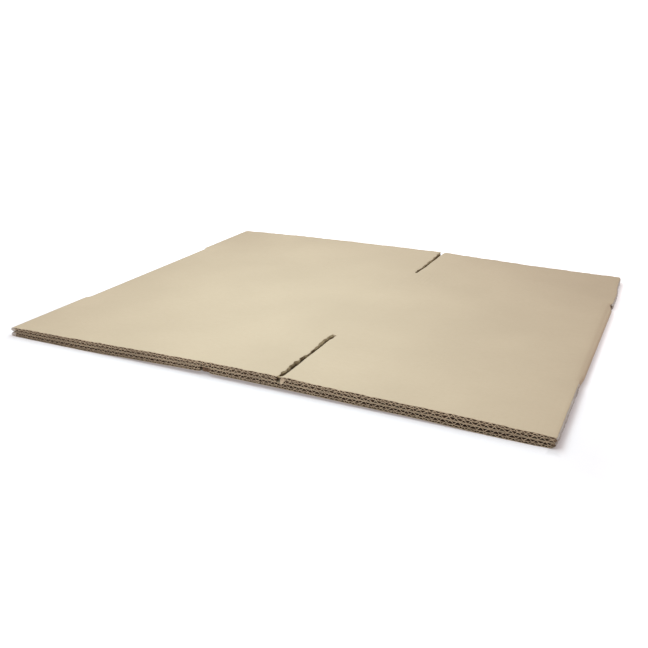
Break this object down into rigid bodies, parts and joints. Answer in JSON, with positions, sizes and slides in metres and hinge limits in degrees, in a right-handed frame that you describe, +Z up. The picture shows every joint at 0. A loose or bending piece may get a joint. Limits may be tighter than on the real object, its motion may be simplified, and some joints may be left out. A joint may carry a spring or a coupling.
{
  "type": "flattened cardboard box",
  "caption": "Slotted shipping box of double-wall corrugated board, knocked down flat: two layers of panels with folds at both ends, slots between the flaps and a glued joint below.",
  "frame": {"origin": "middle of the underside, on the surface that the box lies on", "axes": "+X across the panels, towards the end with the short upper panel; +Y along the flutes; +Z up, out of the upper layer"},
  "size_m": [0.712, 0.6214, 0.0183],
  "materials": {
    "kraft_board": "matte kraft paper"
  },
  "bodies": {
    "root": {"flattened_box": "kraft_board"}
  },
  "joints": []
}
